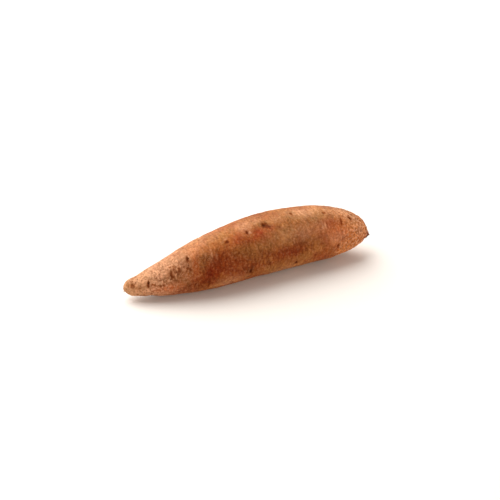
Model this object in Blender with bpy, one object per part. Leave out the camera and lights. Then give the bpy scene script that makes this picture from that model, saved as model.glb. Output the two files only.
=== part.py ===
"""A whole raw sweet potato, modelled as the one solid that it grew as.

Metres, +Z up. The tail points along -X, and the crown, where the stem was cut, along +X.
The root lies on its belly, on a small flat spot at z = 0. The origin is the bottom centre of its box.

A sphere's rings are moved onto the root: each ring goes to its share of the length, takes the thickness,
height and sideways bow that the stations give there, and then gets its relief along the radius.
"""

import math
from typing import NamedTuple

import bmesh
import bpy
from mathutils import Vector, noise

# Driving dimensions
LENGTH = 0.230
GIRTH_RADIUS = 0.027

# Rings along the root and points round each ring
RINGS = 92
POINTS_ROUND = 52
# Share of the rings' travel at each end over which they close up on the tip
CROWDED_TRAVEL = 0.08

# Share of the length over which the stub at each tip is rounded off
STUB_ROUNDING = 0.004

# Relief, as shares of the local radius
LOBE_COUNT = 5
LOBE_DEPTH = 0.012
LOBE_TWIST = math.radians(70)
SWELL_DEPTH = 0.030
SWELL_SIZE = 0.034
RIPPLE_DEPTH = 0.010
RIPPLE_SIZE = 0.011

# The eyes of the far side and the belly follow one another by the golden angle
HIDDEN_EYES = 16
HIDDEN_FROM = -125
HIDDEN_SPAN = 185
GOLDEN_ANGLE = 137.5
EYE_ALONG = 0.0027
EYE_ROUND = 0.0037
EYE_DEPTH = 0.0010


class Station(NamedTuple):
    """A cut through the root: its share of the length from the tail, half its thickness and the height
    of its middle as shares of GIRTH_RADIUS, and how far it bows sideways as a share of LENGTH."""

    share: float
    thickness: float
    height: float
    bow: float


STATIONS = (
    Station(0.000, 0.100, 0.450, 0.003),
    Station(0.004, 0.105, 0.450, 0.003),
    Station(0.009, 0.180, 0.450, 0.002),
    Station(0.020, 0.250, 0.450, 0.000),
    Station(0.050, 0.320, 0.470, -0.003),
    Station(0.100, 0.450, 0.550, -0.008),
    Station(0.165, 0.595, 0.640, -0.011),
    Station(0.230, 0.730, 0.745, -0.011),
    Station(0.310, 0.850, 0.845, -0.008),
    Station(0.400, 0.930, 0.925, 0.001),
    Station(0.480, 0.980, 0.970, 0.011),
    Station(0.570, 1.000, 0.990, 0.023),
    Station(0.670, 0.985, 0.980, 0.029),
    Station(0.770, 0.935, 0.955, 0.030),
    Station(0.850, 0.840, 0.910, 0.029),
    Station(0.910, 0.700, 0.890, 0.024),
    Station(0.956, 0.500, 0.885, 0.016),
    Station(0.984, 0.280, 0.855, 0.007),
    Station(0.992, 0.125, 0.765, 0.003),
    Station(1.000, 0.100, 0.695, 0.000),
)


class Dent(NamedTuple):
    """A hollow in the skin: its share of the length, the angle round the root in degrees (0 is +Y and
    90 is up), half its size along the root and round it, and its depth, in metres."""

    share: float
    angle: float
    along: float
    around: float
    depth: float


# Eyes and creases of the side that faces the viewer, from the tail to the crown
SHOWN_DENTS = (
    Dent(0.030, 136, 0.0024, 0.0026, 0.0007),
    Dent(0.083, 154, 0.0024, 0.0040, 0.0010),
    Dent(0.169, 142, 0.0024, 0.0060, 0.0008),
    Dent(0.196, 133, 0.0024, 0.0058, 0.0008),
    Dent(0.234, 121, 0.0026, 0.0046, 0.0015),
    Dent(0.325, 140, 0.0025, 0.0085, 0.0006),
    Dent(0.392, 120, 0.0026, 0.0038, 0.0009),
    Dent(0.484, 115, 0.0028, 0.0038, 0.0011),
    Dent(0.554, 107, 0.0032, 0.0044, 0.0015),
    Dent(0.612, 125, 0.0032, 0.0034, 0.0008),
    Dent(0.678, 96, 0.0030, 0.0034, 0.0009),
    Dent(0.749, 119, 0.0028, 0.0040, 0.0007),
    Dent(0.809, 104, 0.0026, 0.0034, 0.0008),
    Dent(0.867, 127, 0.0024, 0.0070, 0.0010),
    Dent(0.912, 119, 0.0024, 0.0052, 0.0010),
    # Low on the same side, past its middle
    Dent(0.470, 194, 0.0026, 0.0036, 0.0009),
    Dent(0.665, 206, 0.0028, 0.0038, 0.0010),
    Dent(0.842, 187, 0.0026, 0.0048, 0.0009),
)


def hidden_dents():
    """The eyes of the far side and the belly, from the tail to the crown."""
    dents = []
    for number in range(HIDDEN_EYES):
        share = 0.07 + 0.86 * (number + 0.5) / HIDDEN_EYES
        angle = HIDDEN_FROM + (number * GOLDEN_ANGLE) % HIDDEN_SPAN
        dents.append(Dent(share, angle, EYE_ALONG, EYE_ROUND, EYE_DEPTH))
    return dents


def station_slopes(values):
    """A slope at each station that keeps the curve through the values free of overshoot."""
    shares = [station.share for station in STATIONS]
    steps = [
        (values[i + 1] - values[i]) / (shares[i + 1] - shares[i])
        for i in range(len(values) - 1)
    ]
    slopes = [steps[0]]
    for before, after in zip(steps, steps[1:]):
        level = before * after <= 0
        slopes.append(0.0 if level else 2 * before * after / (before + after))
    return slopes + [steps[-1]]


def station_curve(field):
    """A function of the share of the length that runs smoothly through one field of the stations."""
    shares = [station.share for station in STATIONS]
    values = [getattr(station, field) for station in STATIONS]
    slopes = station_slopes(values)

    def read(share):
        last = len(shares) - 2
        i = min(max(sum(share >= s for s in shares) - 1, 0), last)
        span = shares[i + 1] - shares[i]
        t = (share - shares[i]) / span
        return (
            values[i] * (1 + 2 * t) * (1 - t) ** 2
            + values[i + 1] * t * t * (3 - 2 * t)
            + span * slopes[i] * t * (1 - t) ** 2
            + span * slopes[i + 1] * t * t * (t - 1)
        )

    return read


def share_of(travel):
    """Where a ring stands: evenly along the body, closing up on the tip at each end."""
    if travel > 0.5:
        return 1 - share_of(1 - travel)
    pace = 1 / (1 - CROWDED_TRAVEL)
    if travel < CROWDED_TRAVEL:
        return pace * travel**2 / (2 * CROWDED_TRAVEL)
    return pace * (travel - CROWDED_TRAVEL / 2)


def tip_rounding(share):
    """How much of the stations' thickness is left where the stub at a tip is rounded off."""
    reach = min(share, 1 - share, STUB_ROUNDING) / STUB_ROUNDING
    return math.sqrt(max(0.0, 1 - (1 - reach) ** 2))


def swelling(share, angle, radius):
    """Shallow lobes, slow swellings and small ripples, as a share of the radius."""
    lobes = LOBE_DEPTH * math.cos(LOBE_COUNT * angle + LOBE_TWIST * share)
    place = Vector((share * LENGTH, radius * math.cos(angle), radius * math.sin(angle)))
    slow = SWELL_DEPTH * noise.noise(place / SWELL_SIZE)
    ripple = RIPPLE_DEPTH * noise.noise(place / RIPPLE_SIZE)
    return lobes + slow + ripple


def dent_depth(share, angle, radius, dents):
    """How far the dents together take the skin in at this place."""
    depth = 0.0
    for dent in dents:
        along = (share - dent.share) * LENGTH / dent.along
        turn = math.remainder(angle - math.radians(dent.angle), math.tau)
        around = turn * radius / dent.around
        depth += dent.depth * math.exp(-(along**2) - around**2)
    return depth


def skin_point(share, angle, curves, dents):
    """The point of the skin at a share of the length and an angle round the root."""
    radius = GIRTH_RADIUS * curves["thickness"](share) * tip_rounding(share)
    reach = radius * (1 + swelling(share, angle, radius)) - min(
        dent_depth(share, angle, radius, dents), radius / 2
    )
    return Vector(
        (
            share * LENGTH,
            LENGTH * curves["bow"](share) + reach * math.cos(angle),
            GIRTH_RADIUS * curves["height"](share) + reach * math.sin(angle),
        )
    )


def shape_root(bm):
    """Moves a unit sphere's rings onto the root."""
    curves = {field: station_curve(field) for field in ("thickness", "height", "bow")}
    dents = [*SHOWN_DENTS, *hidden_dents()]
    for vertex in bm.verts:
        x, y, z = vertex.co
        travel = math.acos(max(-1.0, min(1.0, -z))) / math.pi
        vertex.co = skin_point(share_of(travel), math.atan2(y, x), curves, dents)


def rest_on_belly(bm):
    """Flattens what would dip below the surface, and puts the origin under the middle of the box."""
    for vertex in bm.verts:
        vertex.co.z = max(vertex.co.z, 0.0)
    for axis in (0, 1):
        places = [vertex.co[axis] for vertex in bm.verts]
        middle = (min(places) + max(places)) / 2
        for vertex in bm.verts:
            vertex.co[axis] -= middle


def skin_material():
    """Matt copper-orange skin."""
    material = bpy.data.materials.new("skin")
    material.use_nodes = True
    shader = material.node_tree.nodes["Principled BSDF"]
    shader.inputs["Base Color"].default_value = (0.50, 0.20, 0.09, 1.0)
    shader.inputs["Roughness"].default_value = 0.62
    shader.inputs["Metallic"].default_value = 0.0
    return material


def make_root():
    """The whole root, as one closed solid."""
    bm = bmesh.new()
    bmesh.ops.create_uvsphere(bm, u_segments=POINTS_ROUND, v_segments=RINGS, radius=1.0)
    shape_root(bm)
    rest_on_belly(bm)
    bmesh.ops.recalc_face_normals(bm, faces=bm.faces)
    mesh = bpy.data.meshes.new("sweet_potato")
    bm.to_mesh(mesh)
    bm.free()
    mesh.shade_smooth()
    mesh.materials.append(skin_material())
    root = bpy.data.objects.new("sweet_potato", mesh)
    bpy.context.scene.collection.objects.link(root)


def main():
    """Clears the scene and makes the root."""
    for obj in list(bpy.data.objects):
        bpy.data.objects.remove(obj)
    make_root()


main()
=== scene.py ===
"""A whole raw sweet potato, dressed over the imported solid.

The root is one grown piece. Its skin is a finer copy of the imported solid, with the relief and the stains
of the real skin, and three small growths stand on it: the cut stem, the torn root thread and the broken
rootlets in its eyes.

Metres, +Z up. The tail points along -X and the crown along +X. A place on the skin is a share of the
length from the tail, and an angle round the root: 0 is +Y, 90 is up and 180 is -Y.
"""

import logging
import math
import random
from dataclasses import dataclass
from enum import Enum

import bmesh
import bpy
import numpy as np
from mathutils import Matrix, Vector, noise


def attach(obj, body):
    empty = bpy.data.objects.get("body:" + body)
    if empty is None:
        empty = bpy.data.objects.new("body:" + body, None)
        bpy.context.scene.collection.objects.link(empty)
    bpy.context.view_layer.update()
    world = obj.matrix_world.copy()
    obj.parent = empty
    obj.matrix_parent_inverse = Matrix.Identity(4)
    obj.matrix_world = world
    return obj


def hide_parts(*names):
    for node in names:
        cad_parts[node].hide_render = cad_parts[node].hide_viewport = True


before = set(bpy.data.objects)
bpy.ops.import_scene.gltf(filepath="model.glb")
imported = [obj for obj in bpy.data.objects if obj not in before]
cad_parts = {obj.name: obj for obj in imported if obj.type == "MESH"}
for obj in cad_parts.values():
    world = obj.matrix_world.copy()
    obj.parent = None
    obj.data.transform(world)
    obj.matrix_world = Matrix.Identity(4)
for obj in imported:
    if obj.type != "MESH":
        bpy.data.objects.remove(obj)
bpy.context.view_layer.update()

log = logging.getLogger("sweet_potato")

NODE = "sweet_potato"
BODY = "root"
MM = 0.001

# The angle between one growth and the next round a stem, in degrees
GOLDEN_ANGLE = 137.5
# The angle of the root's lowest line, in degrees
BELOW = 270
# The decimals, in metres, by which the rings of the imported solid's points are told apart
RING_DECIMALS = 5


@dataclass(frozen=True)
class Tone:
    """A colour as a screen shows it, each channel from 0 to 255."""

    red: int
    green: int
    blue: int

    def linear(self) -> tuple[float, float, float, float]:
        """Turns the colour into the linear light that Blender's sockets take.

        Returns:
            Its red, green and blue from 0 to 1, and a full alpha.
        """
        channels = [c / 255 for c in (self.red, self.green, self.blue)]
        curve = [c / 12.92 if c <= 0.04045 else ((c + 0.055) / 1.055) ** 2.4 for c in channels]
        return (curve[0], curve[1], curve[2], 1.0)


class Stain(Enum):
    """What turns the skin's colour at a place: its stains, and in some patches painted shade and painted
    highlight as well. The value names the mesh attribute that holds it.
    """

    EMBER = "ember"
    OLIVE_AND_SHADE = "olive_and_shade"
    BLUSH_AND_SHADE = "blush_and_shade"
    BLOOM = "bloom_and_highlight"
    EARTH_AND_SHADE = "earth_and_shade"
    PIT_AND_SHADE = "pit_and_shade"


class Zone(Enum):
    """A stretch of the root with a skin of its own. The value names its mesh attribute."""

    CROWN = "crown"
    TAIL = "tail"
    NECK = "neck"
    SCURF = "scurf"


@dataclass(frozen=True)
class Spot:
    """One mark on the skin: an eye, a crease, a patch or a speck.

    Attributes:
        share: Its share of the length from the tail.
        angle: Its angle round the root, in degrees.
        along: Half its size along the root, in millimetres.
        around: Half its size round the root, in millimetres.
        stain: What it turns the skin to.
        strength: How far it does so, from 0 to 1.
        depth: How far its middle is sunk, in millimetres. A raised one is below 0.
        slant: How far it is turned from the root's length, in degrees.
    """

    share: float
    angle: float
    along: float
    around: float
    stain: Stain
    strength: float = 1.0
    depth: float = 0.0
    slant: float = 0.0


# Marks of the side that faces the camera, from the tail to the crown. Some of them are partly painted shade,
# on the front and along the top, and some pale ones along the top are partly painted highlight. A row is a
# spot's share, angle, along, around and strength, with its depth and slant where it has them
SHOWN_MARKS = {
    Stain.EMBER: (
        (0.110, 192, 9, 4, 0.35),
        (0.160, 187, 9, 3.6, 0.85),
        (0.255, 140, 4, 9, 0.60),
        (0.275, 112, 8, 9, 0.55),
        (0.345, 112, 10, 5, 0.40),
        (0.436, 112, 10, 5, 0.35),
        (0.835, 156, 11, 9, 0.85),
    ),
    # Partly painted shade, partly the skin's own red: the wide patches on the front at shares 0.296, 0.316
    # and 0.420
    Stain.BLUSH_AND_SHADE: (
        (0.296, 170, 10, 7, 0.90),
        (0.316, 162, 10, 9, 0.90),
        (0.420, 170, 26, 13, 0.60),
        (0.432, 127, 7, 4.5, 0.75),
        (0.495, 131, 5, 2.2, 0.70),
        (0.527, 125, 6.5, 5, 0.90),
        (0.577, 121, 6.5, 4, 0.80),
        (0.640, 178, 14, 6, 0.50),
        (0.722, 150, 12, 6, 0.35),
        (0.800, 127, 7, 5, 0.55),
        (0.885, 158, 9, 6, 0.45),
        (0.945, 130, 8, 8, 0.40),
    ),
    # Partly painted shade, partly the skin's own olive: the long band along the top at share 0.575, and the
    # top rim of the crown at 0.925
    Stain.OLIVE_AND_SHADE: (
        (0.165, 146, 4, 4.5, 0.80),
        (0.186, 137, 5.5, 6.5, 0.95),
        (0.233, 131, 3.6, 7.5, 0.85),
        (0.284, 147, 3.4, 10, 0.85),
        (0.300, 116, 6, 5, 0.35),
        (0.308, 138, 5, 6, 0.65),
        (0.370, 107, 9, 6, 0.50),
        (0.443, 146, 11, 7, 0.65),
        (0.486, 162, 11, 7, 0.55),
        (0.515, 107, 6, 4, 0.30),
        (0.540, 150, 10, 6, 0.50),
        (0.553, 106, 6, 4.5, 0.68),
        (0.575, 74, 20, 6, 0.55),
        (0.598, 110, 6, 4, 0.25),
        (0.640, 134, 18, 9, 0.62),
        (0.676, 104, 11, 7, 0.70),
        (0.715, 160, 12, 6, 0.40),
        (0.749, 117, 10, 7, 0.70),
        (0.800, 110, 7, 6, 0.50),
        (0.900, 101, 10, 6, 0.40),
        (0.925, 78, 9, 5, 0.60),
        (0.930, 120, 9, 8, 0.70),
    ),
    # Partly painted shade, partly the skin's own darker colour: the wide patches on the front at shares
    # 0.250, 0.320, 0.345, 0.440 and 0.660, and the top rim of the crown at 0.960 and 0.983
    Stain.EARTH_AND_SHADE: (
        (0.115, 150, 9, 5.5, 0.25),
        (0.145, 172, 1.4, 1, 0.60, 0.2),
        (0.172, 140, 5, 6, 0.45),
        (0.180, 138, 6, 6, 0.75),
        (0.214, 126, 2.8, 4, 0.75, 0.2),
        (0.230, 141, 2.4, 2.4, 0.85, 0.3),
        (0.231, 129, 1.8, 2.8, 0.85, 0.4),
        (0.233, 135, 3.5, 7, 0.60),
        (0.250, 197, 14, 5, 0.65),
        (0.275, 131, 5, 6, 0.35),
        (0.308, 140, 5, 6, 0.30),
        (0.320, 172, 28, 15, 0.40),
        (0.345, 150, 14, 8, 0.48),
        (0.386, 121, 1.2, 2.2, 0.45, 0.2),
        (0.400, 126, 1.8, 2, 0.60, 0.3),
        (0.440, 182, 24, 11, 0.50),
        (0.450, 135, 12, 7, 0.22),
        (0.484, 114, 2.8, 2.8, 0.55, 0.3),
        (0.541, 110, 1.2, 2, 0.30, 0.2),
        (0.552, 102, 2.4, 2.2, 0.45, 0.2),
        (0.560, 172, 16, 8, 0.30),
        (0.572, 116, 2.6, 2, 0.75, 0.2),
        (0.612, 124, 2.2, 2.2, 0.55, 0.3),
        (0.660, 174, 30, 8, 0.45),
        (0.692, 155, 9, 7, 0.38),
        (0.763, 155, 1.6, 1.2, 0.55, 0.2),
        (0.775, 139, 1.4, 1.2, 0.60, 0.2),
        (0.789, 155, 1.9, 1.3, 0.75, 0.3),
        (0.866, 166, 1.6, 1.2, 0.60, 0.2),
        (0.890, 182, 7, 6, 0.25),
        (0.906, 175, 1.6, 1.2, 0.60, 0.2),
        (0.915, 122, 1.8, 1.8, 0.70, 0.3),
        (0.950, 184, 7, 7, 0.65),
        (0.960, 84, 6, 5, 0.50),
        (0.983, 100, 3, 5, 0.50),
    ),
    # Partly painted highlight, partly the skin's dusty bloom: the bands and patches along the top at shares
    # 0.120, 0.150, 0.200, 0.285, 0.325, 0.478, 0.500, 0.725 and 0.820
    Stain.BLOOM: (
        (0.020, 170, 5, 5, 0.30),
        (0.050, 190, 9, 4, 0.35),
        (0.050, 118, 14, 7, 0.60),
        (0.120, 200, 12, 2.5, 0.45),
        (0.120, 120, 18, 8, 0.70),
        (0.150, 76, 16, 6, 0.30),
        (0.178, 146, 0.8, 2.6, 0.60, -0.3, -15),
        (0.190, 130, 0.9, 3, 0.80, -0.3, -15),
        (0.200, 108, 14, 7, 0.42),
        (0.208, 134, 0.9, 3.2, 0.85, -0.3, -15),
        (0.241, 113, 1.2, 1, 0.80),
        (0.285, 98, 20, 5, 0.25),
        (0.316, 142, 0.8, 3.5, 0.40),
        (0.325, 133, 0.9, 4, 0.50),
        (0.325, 75, 24, 6, 0.32),
        (0.340, 140, 0.8, 3.5, 0.40),
        (0.392, 110, 1.8, 1.4, 0.60),
        (0.469, 87, 10, 4, 0.20),
        (0.478, 100, 7, 5, 0.55),
        (0.489, 115, 1.3, 1.3, 0.75, -0.2),
        (0.500, 90, 22, 6, 0.15),
        (0.536, 93, 6, 5, 0.35),
        (0.605, 103, 7, 5, 0.25),
        (0.640, 140, 24, 8, 0.22),
        (0.705, 141, 9, 6, 0.25),
        (0.722, 101, 9, 6, 0.34),
        (0.725, 92, 22, 8, 0.45),
        (0.775, 134, 11, 10, 0.18),
        (0.781, 137, 0.7, 2.8, 0.70),
        (0.793, 134, 0.8, 3.4, 0.80),
        (0.820, 88, 20, 8, 0.35),
        (0.838, 164, 9, 6, 0.50),
        (0.895, 96, 9, 6, 0.40),
        (0.900, 108, 12, 8, 0.40),
        (0.908, 145, 5, 5, 0.15),
        (0.949, 154, 6, 6.5, 0.60),
    ),
    # Faint painted shade, partly the skin's own darker colour: the wide patches on the front at shares 0.285,
    # 0.316, 0.345 and 0.655
    Stain.PIT_AND_SHADE: (
        (0.012, 128, 1.3, 3.2, 0.12, 0.2),
        (0.027, 138, 2.2, 2.6, 0.42, 0.3),
        (0.050, 158, 4, 3, 0.15),
        (0.081, 162, 0.9, 2.2, 0.60, 0.4),
        (0.084, 147, 0.8, 1.9, 0.85, 0.7),
        (0.103, 162, 1.3, 1.1, 0.38, 0.3),
        (0.113, 167, 1.1, 1, 0.22, 0.2),
        (0.123, 172, 1.4, 1.2, 0.35, 0.3),
        (0.135, 168, 1.2, 1, 0.30, 0.3),
        (0.169, 142, 1.2, 2.6, 0.30, 0.4),
        (0.176, 139, 6, 6.5, 0.20),
        (0.182, 124, 1.1, 2.2, 0.20, 0.4),
        (0.198, 137, 0.9, 2.6, 0.30, 0.4),
        (0.229, 143, 5, 5, 0.16),
        (0.236, 118, 1, 2.4, 0.90, 0.8),
        (0.285, 190, 16, 7, 0.15),
        (0.316, 166, 9, 8, 0.15),
        (0.345, 144, 9, 8, 0.14),
        (0.395, 118, 1.6, 1.4, 0.60, 0.4),
        (0.479, 113, 1.1, 1.9, 0.60, 0.5),
        (0.556, 107, 1.9, 2.1, 0.85, 0.8),
        (0.562, 113, 1.9, 2.8, 0.45, 0.4, -40),
        (0.655, 178, 12, 5, 0.06),
        (0.679, 94, 1.4, 1.8, 0.43, 0.4),
        (0.683, 102, 2.2, 3, 0.20, 0.2),
        (0.809, 102, 1.8, 1.5, 0.42, 0.4),
        (0.868, 127, 0.9, 4, 0.55, 0.5, 17),
        (0.912, 114, 1.4, 2.8, 0.62, 0.5, -6),
        (0.970, 206, 1.5, 2, 0.90, 0.4),
        (0.983, 110, 3, 4, 0.25),
        (0.987, 215, 2.2, 3.2, 1.00, 0.3),
    ),
}

# Marks low on the front, which nothing in the reference shows
LOW_FRONT_MARKS = {
    Stain.BLUSH_AND_SHADE: (
        (0.230, 214, 12, 5, 0.35),
        (0.520, 221, 13, 6, 0.40),
        (0.775, 207, 12, 7, 0.45),
    ),
    Stain.OLIVE_AND_SHADE: (
        (0.470, 196, 5, 6, 0.60),
        (0.570, 203, 15, 8, 0.45),
        (0.690, 192, 9, 6, 0.40),
    ),
    Stain.EARTH_AND_SHADE: (
        (0.473, 189, 2.4, 2.8, 0.50, 0.2),
    ),
    Stain.BLOOM: (
        (0.385, 208, 12, 6, 0.35),
        (0.620, 222, 16, 6, 0.35),
    ),
    Stain.PIT_AND_SHADE: (
        (0.302, 203, 0.8, 5, 0.28, 0.4, 6),
        (0.402, 217, 0.8, 3.6, 0.30, 0.4, -11),
        (0.470, 194, 1, 2.4, 0.75, 0.6),
        (0.548, 187, 0.8, 4.2, 0.25, 0.3, -8),
        (0.665, 206, 1.3, 1.9, 0.60, 0.5),
        (0.742, 199, 0.8, 5.5, 0.30, 0.4, 5),
        (0.842, 187, 0.9, 2.6, 0.60, 0.5, 10),
    ),
}


def spots_of(table: dict[Stain, tuple[tuple[float, ...], ...]]) -> list[Spot]:
    """The spots of a table of marks, stain by stain."""
    return [Spot(*row[:4], stain, *row[4:]) for stain, rows in table.items() for row in rows]


@dataclass(frozen=True)
class HiddenSide:
    """The marks of the far side and the belly, drawn at random from a fixed seed.

    The eyes stand where the solid has its own: evenly along the root, each turned from the one before it
    by the golden angle. Below each is an earthy smear, and round it a greenish-brown halo. The patches take
    the stains in turn. Shares are of the root's length, angles are in degrees, sizes are half sizes in
    millimetres, as depths are, and a pair is the least and the most that is drawn. The widths of a smear
    and a halo are factors on the eye's own and the halo's, and so is a smear's strength.
    """

    seed: int = 41
    eyes: int = 16
    eyes_start: float = 0.07
    eyes_reach: float = 0.86
    eyes_from: float = -125
    eyes_span: float = 185
    eye_along: tuple[float, float] = (0.7, 1.5)
    eye_around: tuple[float, float] = (0.9, 2.8)
    eye_strength: tuple[float, float] = (0.25, 0.95)
    eye_depth: float = 0.5
    smear_drop: tuple[float, float] = (2, 9)
    smear_along: tuple[float, float] = (1.5, 3.0)
    smear_width: float = 1.4
    smear_strength: float = 0.6
    smear_depth: float = 0.2
    halo: tuple[float, float] = (3.0, 6.5)
    halo_width: float = 1.2
    halo_strength: tuple[float, float] = (0.3, 0.9)
    patch_stains: tuple[Stain, ...] = (
        Stain.OLIVE_AND_SHADE, Stain.BLUSH_AND_SHADE, Stain.EARTH_AND_SHADE, Stain.OLIVE_AND_SHADE, Stain.BLOOM, Stain.BLUSH_AND_SHADE
    )
    patch_turns: int = 7
    patch_shares: tuple[float, float] = (0.08, 0.95)
    patch_angles: tuple[float, float] = (-120, 72)
    patch_size: tuple[float, float] = (4, 15)
    patch_shape: tuple[float, float] = (0.5, 1.0)
    patch_strength: tuple[float, float] = (0.3, 0.8)
    creases: int = 14
    crease_shares: tuple[float, float] = (0.10, 0.92)
    crease_angles: tuple[float, float] = (-110, 60)
    crease_slant: tuple[float, float] = (-14, 14)
    crease_along: float = 0.8
    crease_around: tuple[float, float] = (3, 7)
    crease_strength: tuple[float, float] = (0.2, 0.5)
    crease_depth: float = 0.4

    def eye(self, number: int, draw: random.Random) -> list[Spot]:
        """Draws an eye, the smear below it and the halo round it.

        Args:
            number: Its number, from the tail.
            draw: The source of the random draws.

        Returns:
            Their spots.
        """
        share = self.eyes_start + self.eyes_reach * (number + 0.5) / self.eyes
        angle = self.eyes_from + (number * GOLDEN_ANGLE) % self.eyes_span
        strength = draw.uniform(*self.eye_strength)
        around = draw.uniform(*self.eye_around)
        along = draw.uniform(*self.eye_along)
        low = angle - draw.uniform(*self.smear_drop)
        smear = draw.uniform(*self.smear_along)
        width = self.smear_width * around
        weak = self.smear_strength * strength
        halo = draw.uniform(*self.halo)
        wide = self.halo_width * halo
        return [
            Spot(share, angle, along, around, Stain.PIT_AND_SHADE, strength, self.eye_depth),
            Spot(share, low, smear, width, Stain.EARTH_AND_SHADE, weak, self.smear_depth),
            Spot(share, angle, halo, wide, Stain.OLIVE_AND_SHADE, draw.uniform(*self.halo_strength)),
        ]

    def patch(self, stain: Stain, draw: random.Random) -> Spot:
        """Draws a patch of one stain.

        Args:
            stain: The stain.
            draw: The source of the random draws.

        Returns:
            Its spot.
        """
        share = draw.uniform(*self.patch_shares)
        angle = draw.uniform(*self.patch_angles)
        size = draw.uniform(*self.patch_size)
        strength = draw.uniform(*self.patch_strength)
        return Spot(share, angle, size, size * draw.uniform(*self.patch_shape), stain, strength)

    def crease(self, draw: random.Random) -> Spot:
        """Draws a narrow crease across the root.

        Args:
            draw: The source of the random draws.

        Returns:
            Its spot.
        """
        share = draw.uniform(*self.crease_shares)
        angle = draw.uniform(*self.crease_angles)
        slant = draw.uniform(*self.crease_slant)
        around = draw.uniform(*self.crease_around)
        strength = draw.uniform(*self.crease_strength)
        return Spot(share, angle, self.crease_along, around, Stain.PIT_AND_SHADE, strength, self.crease_depth, slant)

    def marks(self) -> list[Spot]:
        """Draws all the marks.

        Returns:
            Their spots: the eyes, then the patches and the creases.
        """
        draw = random.Random(self.seed)
        eyes = [spot for number in range(self.eyes) for spot in self.eye(number, draw)]
        patches = [self.patch(stain, draw) for stain in self.patch_stains * self.patch_turns]
        return [*eyes, *patches, *(self.crease(draw) for _ in range(self.creases))]


@dataclass(frozen=True)
class Specks:
    """Small dark specks all over the skin, drawn at random from a fixed seed.

    Sizes and depths are in millimetres, and a pair is the least and the most that is drawn.
    """

    seed: int = 7
    count: int = 90
    shares: tuple[float, float] = (0.03, 0.97)
    size: tuple[float, float] = (0.5, 0.9)
    strength: tuple[float, float] = (0.15, 0.45)
    depth: float = 0.1

    def marks(self) -> list[Spot]:
        """Draws the specks.

        Returns:
            Their spots.
        """
        draw = random.Random(self.seed)
        specks = []
        for _ in range(self.count):
            share = draw.uniform(*self.shares)
            angle = draw.uniform(-180, 180)
            size = draw.uniform(*self.size)
            specks.append(Spot(share, angle, size, size, Stain.PIT_AND_SHADE, draw.uniform(*self.strength), self.depth))
        return specks


def all_marks() -> list[Spot]:
    """Gathers every mark on the skin.

    Returns:
        The spots that show, those low on the front, the hidden ones and the specks.
    """
    front = [*spots_of(SHOWN_MARKS), *spots_of(LOW_FRONT_MARKS)]
    return [*front, *HiddenSide().marks(), *Specks().marks()]


@dataclass
class RootAxis:
    """The root's middle line and thickness along X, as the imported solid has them.

    Attributes:
        places: The X of each ring of the solid's points, rising.
        middles: The Y and Z of each ring's middle.
        radii: Each ring's mean radius.
    """

    places: np.ndarray
    middles: np.ndarray
    radii: np.ndarray

    @classmethod
    def of_node(cls, node: bpy.types.Object) -> "RootAxis":
        """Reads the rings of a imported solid.

        Args:
            node: The solid's object.

        Returns:
            The axis through its rings.
        """
        points = np.array([vertex.co for vertex in node.data.vertices])
        ring_of = np.round(points[:, 0], RING_DECIMALS)
        places = np.unique(ring_of)
        rings = [points[ring_of == place] for place in places]
        middles = np.array([ring[:, 1:].mean(axis=0) for ring in rings])
        radii = np.array([
            np.hypot(*(ring[:, 1:] - middle).T).mean() for ring, middle in zip(rings, middles)
        ])
        return cls(places, middles, radii)

    def share(self, points: np.ndarray) -> np.ndarray:
        """The share of the length at which each point lies."""
        return (points[:, 0] - self.places[0]) / (self.places[-1] - self.places[0])

    def radius(self, points: np.ndarray) -> np.ndarray:
        """The root's radius at each point."""
        return np.interp(points[:, 0], self.places, self.radii)

    def angle(self, points: np.ndarray) -> np.ndarray:
        """Measures where each point stands round the root.

        Args:
            points: The points.

        Returns:
            Their angles, in degrees.
        """
        y = points[:, 1] - np.interp(points[:, 0], self.places, self.middles[:, 0])
        z = points[:, 2] - np.interp(points[:, 0], self.places, self.middles[:, 1])
        return np.degrees(np.arctan2(z, y))

    def point(self, share: float, angle: float) -> Vector:
        """Finds a point on the solid's mean skin.

        Args:
            share: Its share of the length.
            angle: Its angle round the root, in degrees.

        Returns:
            The point.
        """
        x = self.places[0] + share * (self.places[-1] - self.places[0])
        y, z = (np.interp(x, self.places, self.middles[:, i]) for i in (0, 1))
        radius = np.interp(x, self.places, self.radii)
        turn = math.radians(angle)
        return Vector((x, y + radius * math.cos(turn), z + radius * math.sin(turn)))


def smooth_step(values: np.ndarray, start: float, end: float) -> np.ndarray:
    """0 before the start and 1 after the end, with a smooth rise between them."""
    t = np.clip((values - start) / (end - start), 0, 1)
    return t * t * (3 - 2 * t)


def noise_at(points: np.ndarray, along: float, around: float, shift: float = 0.0) -> np.ndarray:
    """Smooth noise over the skin.

    Args:
        points: The points to read it at.
        along: The size of its swells along the root, in millimetres.
        around: Their size across the root, in millimetres.
        shift: Moves the pattern, so that two noises of one size differ.

    Returns:
        A value for each point, from about -1 to 1.
    """
    scaled = points / (np.array([along, around, around]) * MM) + shift
    return np.array([noise.noise(place) for place in scaled.tolist()])


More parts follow.
